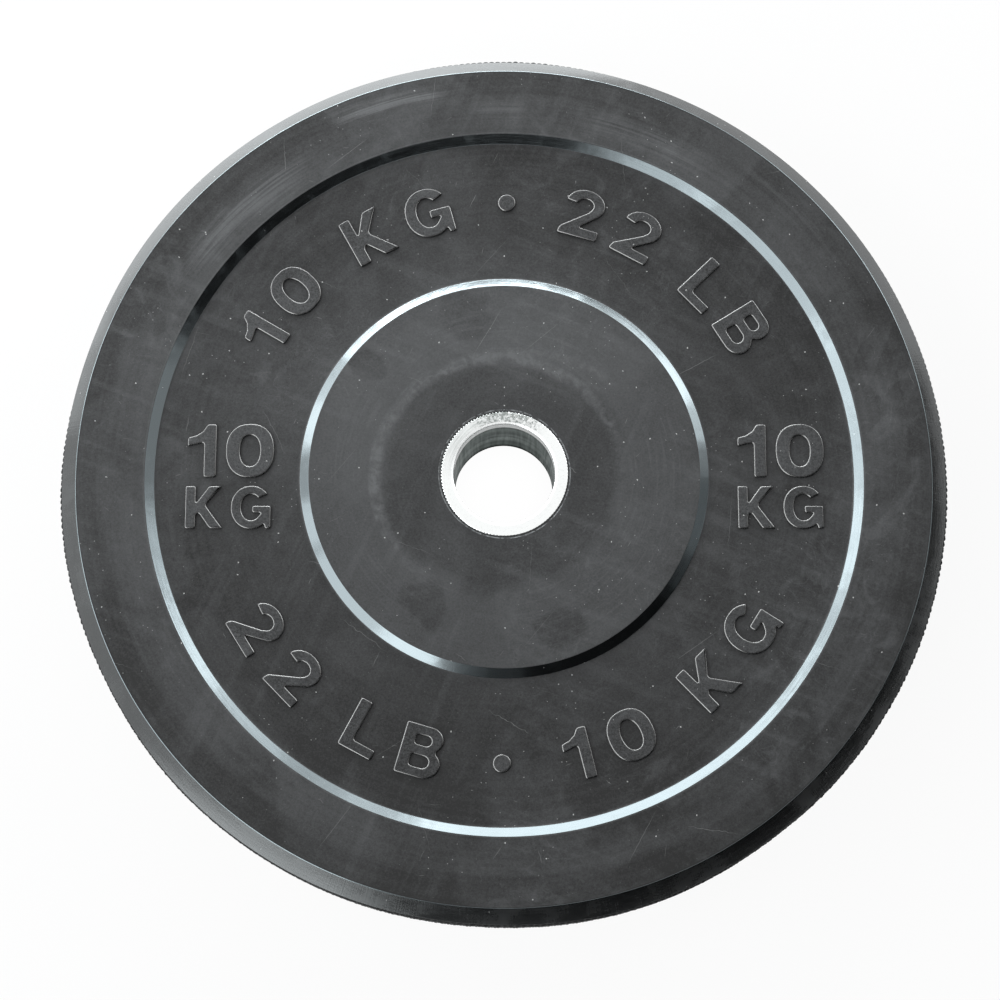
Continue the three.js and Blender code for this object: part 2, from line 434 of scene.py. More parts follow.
def rubber_body(face_rubber, wall_rubber, chamfer_rubber, flash_rubber):
    face = face_outline()
    vertices, faces = revolve(mirrored(face) + face, DISC_SEGMENTS, worn_shape)
    piece = new_object("rubber_body", vertices, faces)

    flash_end = FLASH_RADIUS + 0.1 * MM
    rim_end = RIM_RADIUS - 1.0 * MM
    chamfer_start = RIM_RADIUS + 0.35 * MM

    def choose(polygon):
        radius = polygon.center.to_2d().length
        if radius < flash_end:
            return flash_rubber
        if abs(polygon.normal.z) > (FLAT_NORMAL if radius < rim_end else FLAT_NORMAL_BY_CHAMFER):
            return face_rubber
        return chamfer_rubber if radius > chamfer_start else wall_rubber

    paint(piece, [face_rubber, wall_rubber, chamfer_rubber, flash_rubber], choose)
    return piece


def knurled_tread(material):
    """A ring whose outside carries the knurl. It lies in the groove between the two chamfers."""
    vertices, faces, shared = [], [], {}
    half_width = CHAMFER_Z - KNURL_MARGIN
    half_row_height = half_width / KNURL_ROWS

    def vertex(column, row, radius):
        """Columns count half diamonds round, rows count half diamonds up."""
        angle = math.pi * column / KNURL_AROUND
        radius -= flat_depth(angle)
        height = row * half_row_height - half_width
        vertices.append((radius * math.cos(angle), radius * math.sin(angle), height))
        return len(vertices) - 1

    def root(column, row):
        key = (column % (2 * KNURL_AROUND), row)
        if key not in shared:
            shared[key] = vertex(*key, ROOT_RADIUS)
        return shared[key]

    def tooth(corners):
        """One worn pyramid: its levels shrink towards the middle as they rise."""
        middle = sum((Vector(c) for c in corners), Vector((0, 0))) / len(corners)
        share = knurl_share(math.pi * middle.x / KNURL_AROUND)
        height = KNURL_HEIGHT * share * random.uniform(*TOOTH_LEFT)
        below = [root(*c) for c in corners]
        for share, rise in KNURL_LEVELS:
            spots = [middle.lerp(Vector(c), share) for c in corners]
            level = [vertex(spot.x, spot.y, ROOT_RADIUS + height * rise) for spot in spots]
            bridge(faces, below, level)
            below = level
        faces.append(tuple(below))

    top = 2 * KNURL_ROWS
    for row in range(top + 1):
        for i in range(KNURL_AROUND):
            c = 2 * i + row % 2
            corners = [(c - 1, row), (c, row - 1), (c + 1, row), (c, row + 1)]
            tooth([corner for corner in corners if 0 <= corner[1] <= top])

    columns = range(1, 2 * KNURL_AROUND, 2)
    back = {row: [vertex(column, row, ROOT_RADIUS - TREAD_THICKNESS) for column in columns] for row in (0, top)}
    front = {row: [root(column, row) for column in columns] for row in (0, top)}
    bridge(faces, back[0], front[0])
    bridge(faces, front[top], back[top])
    bridge(faces, back[top], back[0])
    piece = new_object("knurled_tread", vertices, faces, smooth=False)
    piece.data.materials.append(material)
    return piece


# Raised marks

def arc(centre, radii, start, end, power=2.0, steps=14):
    """Points along a part of an ellipse, angles in degrees. A power over 2 makes it squarer."""
    points = []
    for step in range(steps + 1):
        angle = math.radians(start + (end - start) * step / steps)
        x, y = math.cos(angle), math.sin(angle)
        x = math.copysign(abs(x) ** (2 / power), x)
        y = math.copysign(abs(y) ** (2 / power), y)
        points.append((centre[0] + radii[0] * x, centre[1] + radii[1] * y))
    return points


# Each character's width and outlines, as shares of its height
GLYPHS = {
    "1": (0.60, [[
        (0.36, 0), (0.60, 0), (0.60, 1), (0.42, 1), (0.34, 0.87),
        (0.22, 0.79), (0.06, 0.75), (0.06, 0.58), (0.36, 0.65),
    ]]),
    "0": (0.90, [
        arc((0.45, 0.5), (0.45, 0.51), 0, 350, 2.3, 35),
        arc((0.45, 0.5), (0.18, 0.29), 0, 345, 2.2, 23),
    ]),
    "2": (0.82, [
        arc((0.42, 0.69), (0.40, 0.32), 175, -33)
        + [(0.42, 0.21), (0.82, 0.21), (0.82, 0), (0, 0), (0.03, 0.15), (0.50, 0.54)]
        + arc((0.42, 0.68), (0.16, 0.13), -30, 175, steps=8)
    ]),
    "K": (0.88, [[
        (0, 0), (0, 1), (0.25, 1), (0.25, 0.60), (0.54, 1), (0.85, 1), (0.47, 0.55), (0.88, 0), (0.57, 0),
        (0.31, 0.37), (0.25, 0.30), (0.25, 0),
    ]]),
    "G": (0.93, [
        arc((0.47, 0.5), (0.47, 0.51), 36, 300, 2.1, 22)
        + [(0.77, 0.11), (0.79, 0), (0.93, 0), (0.93, 0.54), (0.49, 0.54), (0.49, 0.37), (0.70, 0.37)]
        + arc((0.47, 0.5), (0.22, 0.30), 318, 42, 2.1, 18)
    ]),
    "L": (0.72, [[(0, 0), (0, 1), (0.25, 1), (0.25, 0.21), (0.72, 0.21), (0.72, 0)]]),
    "B": (0.84, [
        [(0, 0), (0, 1), (0.46, 1)]
        + arc((0.50, 0.745), (0.28, 0.255), 84, -48, steps=10)
        + arc((0.50, 0.285), (0.34, 0.285), 52, -84, steps=10)
        + [(0.46, 0)],
        [(0.25, 0.62), (0.46, 0.62)]
        + arc((0.46, 0.71), (0.09, 0.09), -75, 75, steps=6)
        + [(0.46, 0.80), (0.25, 0.80)],
        [(0.25, 0.20), (0.49, 0.20)]
        + arc((0.49, 0.31), (0.11, 0.11), -75, 75, steps=6)
        + [(0.49, 0.42), (0.25, 0.42)],
    ]),
    ".": (0.36, [arc((0.18, 0.5), (0.18, 0.18), 0, 345, steps=23)]),
    " ": (0.22, []),
}
UPPER_ARC_TEXT = "10 KG . 22 LB"
LOWER_ARC_TEXT = "22 LB . 10 KG"


def blunted(points, radius):
    """A closed outline whose sharp corners become short curves."""
    result = []
    count = len(points)
    for i, point in enumerate(points):
        corner = Vector(point)
        back = Vector(points[i - 1]) - corner
        ahead = Vector(points[(i + 1) % count]) - corner
        if (-back).angle(ahead) < SHARP_ANGLE:
            result.append(corner)
            continue
        start = corner + back.normalized() * min(radius, back.length * BLUNT_SHARE)
        end = corner + ahead.normalized() * min(radius, ahead.length * BLUNT_SHARE)
        for step in range(BLUNT_STEPS + 1):
            share = step / BLUNT_STEPS
            result.append(start.lerp(corner, share).lerp(corner.lerp(end, share), share))
    return result


def lettering(text, cap, gap_share):
    """Pairs of the middle of each character along a line, and its outlines about that middle and the base."""
    advance = 0.0
    letters = []
    for character in text:
        width, outlines = GLYPHS[character]
        middle = advance + width / 2
        moved = [[Vector((x - width / 2, y)) * cap for x, y in outline] for outline in outlines]
        letters.append((middle * cap, [blunted(outline, MARK_CORNER) for outline in moved]))
        advance += width + gap_share
    half = (advance - gap_share) * cap / 2
    return [(middle - half, outlines) for middle, outlines in letters]


def straight_mark(text, cap, centre):
    base = Vector(centre) - Vector((0, cap / 2))
    for middle, outlines in lettering(text, cap, SIDE_GAP_SHARE):
        for outline in outlines:
            yield [base + Vector((middle, 0)) + p for p in outline]


def arc_mark(text, base_radius, upright):
    """Characters on an arc round the hub: above it they stand on the base radius, below they hang from it."""
    for middle, outlines in lettering(text, ARC_CAP, ARC_GAP_SHARE):
        mid_radius = base_radius + ARC_CAP / 2 if upright else base_radius - ARC_CAP / 2
        angle = -middle / mid_radius if upright else middle / mid_radius
        turn = Matrix.Rotation(angle, 2)
        foot = Vector((0, base_radius if upright else -base_radius))
        for outline in outlines:
            yield [turn @ (foot + p) for p in outline]


def raised_marks(name, top_rubber, side_rubber, turned_over):
    curve = bpy.data.curves.new(name, "CURVE")
    curve.dimensions = "2D"
    curve.fill_mode = "BOTH"
    curve.extrude = (MARK_HEIGHT + MARK_SINK) / 2 - MARK_BEVEL
    curve.bevel_depth = MARK_BEVEL
    curve.bevel_resolution = 3
    curve.offset = -MARK_BEVEL
    outlines = []
    for x in (-SIDE_MARK_X, SIDE_MARK_X):
        outlines += straight_mark("10", NUMBER_CAP, (x, NUMBER_MIDDLE_Y))
        outlines += straight_mark("KG", UNIT_CAP, (x, UNIT_MIDDLE_Y))
    outlines += arc_mark(UPPER_ARC_TEXT, UPPER_ARC_RADIUS, True)
    outlines += arc_mark(LOWER_ARC_TEXT, LOWER_ARC_RADIUS, False)
    for outline in outlines:
        spline = curve.splines.new("POLY")
        spline.points.add(len(outline) - 1)
        for place, point in zip(outline, spline.points):
            point.co = (place.x, place.y, 0, 1)
        spline.use_cyclic_u = True
    drawn = add_object(name + "_curve", curve)
    mesh = bpy.data.meshes.new_from_object(drawn.evaluated_get(bpy.context.evaluated_depsgraph_get()))
    bpy.data.objects.remove(drawn)
    bpy.data.curves.remove(curve)
    mesh.transform(Matrix.Translation((0, 0, WEB_Z + (MARK_HEIGHT - MARK_SINK) / 2)))
    if turned_over:
        mesh.transform(Matrix.Rotation(math.pi, 4, "X"))
    mesh.name = name
    piece = add_object(name, mesh)
    mesh.materials.clear()
    mesh.set_sharp_from_angle(angle=SHARP_ANGLE)

    def choose(polygon):
        return top_rubber if abs(polygon.normal.z) > MARK_TOP_NORMAL else side_rubber

    paint(piece, [top_rubber, side_rubber], choose)
    return piece


# Insert

def steel_insert(end_steel, bore_steel):
    corners = [
        (SLEEVE_RADIUS, 0.0),
        (SLEEVE_RADIUS, SLEEVE_Z),
        (BORE_RADIUS + LEAD_IN_WIDTH, SLEEVE_Z),
        (BORE_RADIUS + LEAD_IN_CORNER[0], SLEEVE_Z - LEAD_IN_CORNER[1]),
        (BORE_RADIUS, SLEEVE_Z - LEAD_IN_DEPTH),
        (BORE_RADIUS, 0.0),
    ]
    half = rounded(corners, SLEEVE_ROUNDINGS)[1:-1]

    def serrated(radius, height, angle):
        """Notches in the outer edge of the end faces, by which the rubber grips the sleeve."""
        if radius > SLEEVE_RADIUS - SERRATION_WIDTH and abs(height) > SLEEVE_Z - SERRATION_HEIGHT:
            wave = 0.5 + 0.5 * math.cos(SERRATIONS * angle)
            left = LEAST_SERRATION + (1 - LEAST_SERRATION) * max(0.0, math.cos(angle - SERRATED_SIDE))
            return radius - SERRATION_DEPTH * left * wave ** 2, height
        return radius, height

    vertices, faces = revolve(mirrored(half) + half, SERRATION_STEPS * SERRATIONS, serrated)
    piece = new_object("steel_insert", vertices, faces)

    def choose(polygon):
        return bore_steel if polygon.center.to_2d().length < BORE_FINISH_RADIUS else end_steel

    paint(piece, [end_steel, bore_steel], choose)
    return piece


# Materials

class Nodes:
    """A tree of nodes. The methods add nodes and return an output."""

    def __init__(self, tree):
        self.tree = tree

    def node(self, kind, inputs=None, output=0, **settings):
        """Adds a node. Its inputs are values or outputs of other nodes."""
        new = self.tree.nodes.new(kind)
        for name, value in settings.items():
            setattr(new, name, value)
        for name, value in (inputs or {}).items():
            self.set(new.inputs[name], value)
        return new.outputs[output]

    def set(self, socket, value):
        if isinstance(value, bpy.types.NodeSocket):
            self.tree.links.new(value, socket)
        else:
            socket.default_value = value

    def calc(self, operation, a, b=0.0):
        return self.node("ShaderNodeMath", {0: a, 1: b}, operation=operation)

    def vector(self, operation, a, b=(0, 0, 0), output="Vector"):
        return self.node("ShaderNodeVectorMath", {0: a, 1: b}, output, operation=operation)

    def ramp(self, value, start, end, low=0.0, high=1.0):
        """Goes smoothly from low to high as the value goes from start to end."""
        inputs = {"Value": value, "From Min": start, "From Max": end, "To Min": low, "To Max": high}
        return self.node("ShaderNodeMapRange", inputs, interpolation_type="SMOOTHSTEP")


class Finish(Nodes):
    """A material of the object. Lengths are in metres unless a method says otherwise."""

    def __init__(self, name, constants):
        self.material = bpy.data.materials.new(name)
        self.material.use_nodes = True
        super().__init__(self.material.node_tree)
        self.shader = self.tree.nodes["Principled BSDF"]
        for socket, value in constants.items():
            self.shader.inputs[socket].default_value = value
        self.place = self.node("ShaderNodeTexCoord", output="Object")
        self.flat = self.vector("MULTIPLY", self.place, (1, 1, 0))
        self.radius = self.vector("LENGTH", self.flat, output="Value")
        self.direction = self.vector("NORMALIZE", self.flat)

    def axis(self, name, vector=None):
        """One coordinate of a vector, or of the point itself."""
        return self.node("ShaderNodeSeparateXYZ", {0: vector or self.place}, name)

    def clamp(self, value):
        return self.node("ShaderNodeClamp", {"Value": value})

    def swing(self, value):
        """Moves a value between 0 and 1 to both sides of zero."""
        return self.calc("SUBTRACT", value, 0.5)

    def chain(self, operation, values):
        result = values[0]
        for value in values[1:]:
            result = self.calc(operation, result, value)
        return result

    def product(self, *factors):
        return self.chain("MULTIPLY", factors)

    def total(self, *terms):
        """A sum. A tuple among its terms stands for the product of what it holds."""
        return self.chain("ADD", [self.product(*term) if isinstance(term, tuple) else term for term in terms])

    def noise(self, scale, detail=2.0, distortion=0.0, place=None):
        inputs = {"Vector": place or self.place, "Scale": scale, "Detail": detail, "Distortion": distortion}
        return self.node("ShaderNodeTexNoise", inputs)

    def centred(self, scale, detail=2.0, distortion=0.0):
        return self.swing(self.noise(scale, detail, distortion))

    def around(self, scale, detail=2.0):
        """Noise that changes only round the axis, and swings to both sides of zero."""
        return self.swing(self.noise(scale, detail, place=self.direction))

    def streaks(self, across, along, detail=2.0):
        """Noise drawn out round the axis, with its changes per metre of radius and per radian."""
        rise = self.node("ShaderNodeCombineXYZ", {"Z": self.calc("MULTIPLY", self.radius, across)})
        around = self.node("ShaderNodeVectorMath", {0: self.direction, "Scale": along}, operation="SCALE")
        return self.noise(1.0, detail, place=self.vector("ADD", around, rise))

    def strokes(self, degrees, scale, detail=3.0):
        """Noise drawn out into straight strokes in one direction, 15 times as long as wide."""
        inputs = {"Vector": self.place, "Rotation": (0, 0, math.radians(degrees)), "Scale": (1, 15, 1)}
        return self.noise(scale, detail, place=self.node("ShaderNodeMapping", inputs, vector_type="TEXTURE"))

    def curls(self, scale, width):
        """Thin lines that curl back on themselves: where a noise crosses its middle."""
        return self.ramp(self.calc("ABSOLUTE", self.centred(scale, 3, 1.6)), width, 0.2 * width)

    def distance_to(self, x, y):
        """How far a point lies from an upright line, given in millimetres."""
        return self.vector("DISTANCE", self.flat, (x * MM, y * MM, 0), "Value")

    def band(self, radius, width, *terms):
        """A ring: 1 where the terms add up to its radius, and 0 a width from there."""
        return self.ramp(self.calc("ABSOLUTE", self.total(*terms, -radius)), width, 0)

    def towards(self, degrees, start, end):
        """A side of the object, from 0 to 1 between two cosines of the angle from its azimuth."""
        turn = math.radians(degrees)
        side = self.vector("DOT_PRODUCT", self.direction, (math.cos(turn), math.sin(turn), 0), "Value")
        return self.ramp(side, start, end)

    def specks(self, scale, size, share):
        """Small crumbs of uneven shape, in a share of the cells of a random pattern."""
        inputs = {"Vector": self.place, "Scale": scale}
        distance = self.node("ShaderNodeTexVoronoi", inputs, output="Distance", voronoi_dimensions="2D")
        pick = self.node("ShaderNodeSeparateColor", {0: distance.node.outputs["Color"]})
        chosen = self.calc("LESS_THAN", pick, share)
        edge = size * scale
        uneven = self.total(distance, (self.centred(0.9 / size, 1), 2.4 * edge))
        return self.product(chosen, self.ramp(uneven, edge, 0.4 * edge))

    def scratches(self, scale, length, width, share):
        """Single thin lines that lie all ways, one in a share of the cells of a random pattern."""
        bend = self.product(self.centred(300, 1), 0.0016)
        bent = self.vector("ADD", self.place, bend)
        cell = self.node("ShaderNodeTexVoronoi", {"Vector": bent, "Scale": scale}, output="Position").node
        pick = self.node("ShaderNodeSeparateColor", {0: cell.outputs["Color"]}).node
        offset = self.vector("SUBTRACT", bent, cell.outputs["Position"])
        turn = self.calc("MULTIPLY", pick.outputs[0], 2 * math.pi)
        turned = self.node("ShaderNodeVectorRotate", {"Vector": offset, "Angle": turn}, rotation_type="Z_AXIS")
        along, across = (self.calc("ABSOLUTE", self.axis(name, turned)) for name in "XY")
        line = self.ramp(across, width, 0.4 * width)
        end = self.ramp(along, 0.5 * length, 0.1 * length)
        return self.product(line, end, self.calc("LESS_THAN", pick.outputs[1], share), pick.outputs[2])

    def by_radius(self, pairs, radius):
        """A value that follows a radius, from pairs of millimetres and values."""
        output = self.node("ShaderNodeValToRGB", {"Fac": self.calc("DIVIDE", radius, PLATE_RADIUS)})
        ramp = output.node.color_ramp
        ramp.interpolation = "EASE"
        for index, (at, value) in enumerate(pairs):
            position = at * MM / PLATE_RADIUS
            if index < 2:
                element = ramp.elements[index]
                element.position = position
            else:
                element = ramp.elements.new(position)
            element.color = (value, value, value, 1)
        return output

    def mix(self, share, low, high):
        """Inputs 6 and 7 of this node take colours, and its output 2 gives one."""
        return self.node("ShaderNodeMix", {0: share, 6: low, 7: high}, 2, data_type="RGBA")

    def tint(self, share, low, high):
        """A colour between two others."""
        return self.mix(share, (*low, 1), (*high, 1))

    def over(self, share, below, colour):
        """A colour laid over the output of another tint."""
        return self.mix(share, below, (*colour, 1))

    def bumps(self, *layers):
        """Layers of relief, each a height from 0 to 1 and its depth."""
        normal = None
        for height, depth in layers:
            inputs = {"Height": height, "Distance": depth}
            if normal:
                inputs["Normal"] = normal
            normal = self.node("ShaderNodeBump", inputs)
        self.set(self.shader.inputs["Normal"], normal)

    def finish(self, colour, roughness):
        self.set(self.shader.inputs["Base Color"], colour)
        self.set(self.shader.inputs["Roughness"], roughness)
        return self.material


# Colours of the finishes
RUBBER = (0.006, 0.0062, 0.0064)
POLISHED_RUBBER = (0.006, 0.0062, 0.0065)
DUST = (0.125, 0.127, 0.130)
CHALK = (0.70, 0.70, 0.69)
ZINC = (0.955, 0.975, 0.97)
DULL_ZINC = (0.26, 0.28, 0.27)
BORE_ZINC = (0.17, 0.19, 0.183)
DARK_BORE_ZINC = (0.06, 0.068, 0.065)
PAINTED_BORE_SHADE = (0.008, 0.01, 0.009)
FLASH_BLACK = (0.012, 0.0125, 0.013)
FLASH_SCUFF = (0.26, 0.27, 0.275)
BARE_SHEET = (0.26, 0.27, 0.27)
SHEET_SCALE = (0.16, 0.155, 0.15)


def rubbed_marks(finish, on_hub, on_rim):
    """Wiped patches, smears, and straight, curled and round lines where things rubbed over the faces."""
    wiped = finish.product(
        finish.ramp(finish.noise(42, 5, 1.8), 0.50, 0.78),
        finish.ramp(finish.noise(8, 2), 0.42, 0.62),
        on_rim,
    )
    smears = finish.product(finish.centred(105, 4, 2.2), finish.ramp(finish.noise(14, 2), 0.40, 0.62, 0.15, 1))
    turned = finish.product(finish.swing(finish.streaks(420, 2.2, 3)), on_rim)
    fields = finish.noise(11, 2)
    one_way = finish.product(finish.ramp(finish.strokes(68, 170), 0.48, 0.70), finish.ramp(fields, 0.47, 0.6))
    other_way = finish.product(finish.ramp(finish.strokes(-24, 190), 0.48, 0.70), finish.ramp(fields, 0.5, 0.4))
    curls = finish.product(finish.curls(46, 0.011), finish.ramp(finish.noise(9, 2), 0.50, 0.60))
    arcs = finish.product(
        finish.ramp(finish.streaks(800, 2.6, 4), 0.5, 0.7),
        finish.ramp(finish.noise(24, 2), 0.46, 0.6),
        on_hub,
    )
    return finish.total(
        (wiped, 0.30),
        (smears, 0.25),
        (turned, 0.26),
        (one_way, 0.12),
        (other_way, 0.11),
        (curls, 0.12),
        (arcs, 0.13),
    )


def collar_rings(finish, wander):
    """The pale rings on the hub."""
    rings = []
    for (x, y), radius, width, side, pale in SCUFF_RINGS:
        band = finish.band(radius * MM, width * MM, finish.distance_to(x, y), (wander, 0.3))
        rings.append(finish.product(band, finish.towards(*side), pale))
    return finish.product(
        finish.total(*rings),
        finish.ramp(finish.noise(2.2, 2, place=finish.direction), 0.35, 0.65, 0.65, 1),
        finish.ramp(finish.noise(130, 5, 0.8), 0.34, 0.64, 0.15, 1),
        finish.ramp(finish.noise(420, 3, 0.4), 0.36, 0.62, 0.55, 1),
    )


def clean_spots(finish):
    """The darker spots on the hub, with ragged edges."""
    spots = []
    for x, y, radius in CLEAN_SPOTS:
        ragged = finish.total(finish.distance_to(x, y), (finish.centred(42, 4), 0.034))
        spots.append(finish.ramp(ragged, 1.15 * radius * MM, 0.7 * radius * MM, 0, -0.18))
    return finish.total(*spots)


def rim_scuffs(finish):
    """The pale scuffs along the rim, made of streaks."""
    scuffs = []
    for azimuth, radius, spread, width, pale in RIM_SCUFFS:
        band = finish.band(radius * MM, width * MM, finish.radius, (finish.centred(40, 2), 0.01))
        side = finish.towards(azimuth, math.cos(math.radians(spread)), 1.0)
        scuffs.append(finish.product(band, side, pale))
    return finish.product(finish.total(*scuffs), finish.ramp(finish.streaks(700, 3.5, 4), 0.38, 0.62, 0.15, 1))


def rim_tones(finish):
    """The rim's pale lip, partly wear and partly a painted highlight, its darker outer edge, and painted shade by the
    lip.
    """
    # Painted shade on the side of the rim by the lip that faces away from the light
    shade = finish.product(
        finish.towards(*PAINTED_SHADE_RIM_SIDE),
        finish.ramp(finish.radius, LIP_RADIUS - 1 * MM, LIP_RADIUS),
        finish.ramp(finish.radius, LIP_RADIUS + 20 * MM, LIP_RADIUS + 6 * MM),
        -0.16,
    )
    # The pale lip: partly wear, partly a painted highlight along its rounded edge
    lip = finish.band(LIP_RADIUS + 0.4 * MM, 0.5 * MM, finish.radius)
    edge = finish.ramp(finish.radius, RIM_RADIUS - 1.2 * MM, RIM_RADIUS - 0.4 * MM, 0, -0.14)
    return finish.total((lip, 0.22), edge, shade)


def worn_rubber():
    """The matt faces: dusty film by radius and in clouds, wear from use, specks and scratches, and painted light and
    shade.
    """
    finish = Finish("worn_rubber", {"IOR": 1.42})
    wander = finish.calc("MULTIPLY", finish.around(1.6), SCUFF_WANDER)
    drifted = finish.total(finish.radius, (wander, 0.4), (finish.centred(20, 3, 0.6), 0.024))
    film = finish.by_radius(DUST_BY_RADIUS, drifted)
    clouds = finish.centred(17, 4, 0.5)
    patches = finish.swing(finish.ramp(finish.noise(13, 3, 1.0), 0.46, 0.55))
    mottle = finish.centred(62, 4, 0.8)
    grain = finish.total(finish.centred(820, 2), finish.centred(1700, 1))
    # Painted light: the faces, and the hub once more, are painted paler on the side the light comes from and darker
    # on the other
    painted_light_side = finish.vector("DOT_PRODUCT", finish.place, PAINTED_LIGHT_SIDE, "Value")
    painted_light_side_of_hub = finish.vector("DOT_PRODUCT", finish.direction, PAINTED_LIGHT_SIDE, "Value")
    on_hub = finish.product(
        finish.ramp(finish.radius, HUB_RADIUS, 0.85 * HUB_RADIUS),
        finish.ramp(finish.radius, SCUFF_RADIUS - 10 * MM, SCUFF_RADIUS + 5 * MM),
    )
    on_mark = finish.product(
        finish.ramp(finish.calc("ABSOLUTE", finish.axis("Z")), WEB_Z + 0.5 * MM, WEB_Z + 0.9 * MM),
        finish.ramp(finish.radius, HUB_FOOT_RADIUS, HUB_FOOT_RADIUS + 1 * MM),
        finish.ramp(finish.radius, FOOT_RADIUS, FOOT_RADIUS - 1 * MM),
    )
    on_rim = finish.ramp(finish.radius, HUB_FOOT_RADIUS, LIP_RADIUS, 0.4, 1)
    # This sum holds dusty film and wear, and also painted light and shade: the lit side, the rim's lip highlight and
    # the shade by the lip
    paleness = finish.total(
        film,
        (painted_light_side, 0.34),
        (painted_light_side_of_hub, on_hub, 0.05),
        (on_mark, finish.total(0.13, (grain, 0.5))),
        (clouds, 0.26),
        (patches, on_rim, 0.13),
        (mottle, 0.24),
        (grain, 0.32),
        rubbed_marks(finish, on_hub, on_rim),
        collar_rings(finish, wander),
        clean_spots(finish),
        rim_scuffs(finish),
        rim_tones(finish),
    )
    colour = finish.tint(finish.clamp(paleness), RUBBER, DUST)
    lines = finish.total(
        finish.scratches(20, 0.034, 0.00016, 0.5),
        finish.scratches(42, 0.010, 0.00018, 0.12),
        finish.scratches(110, 0.004, 0.00018, 0.05),
    )
    clusters = finish.ramp(finish.noise(22, 2), 0.5, 0.6, 0.15, 1)
    for share in (
        finish.product(lines, 0.17),
        finish.product(finish.specks(150, 0.0004, 0.035), 0.85),
        finish.product(finish.specks(430, 0.00026, 0.045), clusters, 0.5),
    ):
        colour = finish.over(share, colour, CHALK)
    finish.bumps((finish.noise(110, 3), 0.00006), (finish.noise(1500, 2), 0.00002))
    return finish.finish(colour, finish.total(0.47, (paleness, 0.25), (clouds, -0.12)))


def polished_rubber(name, tint, dullness):
    """The sloped walls, which the mould leaves smooth, with faint streaks round the axis."""
    finish = Finish(name, {"IOR": 2.3, "Specular Tint": (*tint, 1)})
    streaks = finish.streaks(1400, 9, 3)
    colour = finish.tint(finish.ramp(finish.noise(60, 4), 0.5, 0.8), POLISHED_RUBBER, RUBBER)
    colour = finish.over(finish.product(finish.specks(260, 0.0003, 0.03), 0.4), colour, CHALK)
    roughness = finish.total(dullness, (streaks, 0.10), finish.ramp(finish.noise(90, 3), 0.5, 0.8, 0, 0.1))
    finish.bumps((streaks, 0.00002), (finish.noise(70, 2), 0.00012))
    return finish.finish(colour, roughness)


def skimmed_rubber():
    """The chamfer, with fine grooves round it, finer hatching across them and a dull film."""
    finish = Finish("skimmed_rubber", {"IOR": 1.82, "Specular Tint": (0.94, 0.99, 1.0, 1)})
    streaks = finish.streaks(1100, 34, 4)
    film = finish.ramp(finish.noise(30, 4, 0.8), 0.42, 0.72)
    hatching = finish.around(330, 2)
    paleness = finish.total((film, 0.06), (streaks, 0.03), (hatching, 0.05))
    colour = finish.tint(paleness, POLISHED_RUBBER, DUST)
    colour = finish.over(finish.product(finish.specks(260, 0.0003, 0.03), 0.5), colour, CHALK)
    finish.bumps((streaks, 0.00004), (hatching, 0.00005), (finish.noise(900, 2), 0.00002))
    return finish.finish(colour, finish.total(0.16, (film, 0.12), (streaks, 0.14), (hatching, 0.1)))


def tread_rubber():
    """The knurl, worn a little paler on its tips."""
    finish = Finish("tread_rubber", {"IOR": 1.3})
    tips = finish.ramp(finish.radius, ROOT_RADIUS + 0.4 * KNURL_HEIGHT, PLATE_RADIUS)
    paleness = finish.total((tips, 0.16), (finish.centred(40, 4), 0.3), 0.06)
    colour = finish.tint(finish.clamp(paleness), RUBBER, DUST)
    finish.bumps((finish.noise(900, 3), 0.00004))
    return finish.finish(colour, finish.total(0.6, (paleness, 0.3)))


def flash_rubber():
    """The ragged lip round the insert, scuffed pale by the bar's collars."""
    finish = Finish("flash_rubber", {"IOR": 1.5})
    scuffs = finish.ramp(finish.noise(520, 3, 0.5), 0.3, 0.68)
    lip = finish.ramp(finish.radius, FLASH_RADIUS - 0.8 * MM, FLASH_RADIUS - 0.3 * MM)
    colour = finish.tint(finish.product(scuffs, lip), FLASH_BLACK, FLASH_SCUFF)
    finish.bumps((finish.noise(900, 3), 0.00005))
    return finish.finish(colour, finish.ramp(finish.noise(400, 2), 0.3, 0.7, 0.35, 0.6))


def end_steel():
    """Zinc-plated end faces and lead-ins: turning marks, a satin side and a coarse dull side of the ring."""
    finish = Finish("end_steel", {"Metallic": 1.0})
    edge = BORE_RADIUS + LEAD_IN_WIDTH
    on_ring = finish.ramp(finish.radius, edge - 0.3 * MM, edge + 0.2 * MM)
    coarse_side = finish.product(finish.towards(*COARSE_SIDE), on_ring)
    satin_side = finish.product(finish.towards(*SATIN_SIDE), on_ring)
    pits = finish.ramp(finish.noise(900, 3), 0.54, 0.64)
    cast = finish.ramp(finish.noise(560, 4, 0.6), 0.35, 0.66)
    skin = finish.total((cast, 0.7), (pits, 0.75))
    turning = finish.streaks(2600, 3, 3)
    satin = finish.total(0.22, (finish.ramp(turning, 0.35, 0.7), 0.34))
    stain = finish.total((pits, 0.06), (coarse_side, skin), (satin_side, satin))
    colour = finish.tint(finish.clamp(stain), ZINC, DULL_ZINC)
    in_bore = finish.ramp(finish.radius, edge, edge - 0.3 * MM, 0, 0.08)
    roughness = finish.total(0.14, in_bore, (satin_side, 0.16), (turning, 0.08))
    finish.bumps(
        (turning, 0.000008),
        (finish.product(pits, coarse_side), -0.00005),
        (finish.product(cast, coarse_side), 0.00005),
    )
    return finish.finish(colour, roughness)


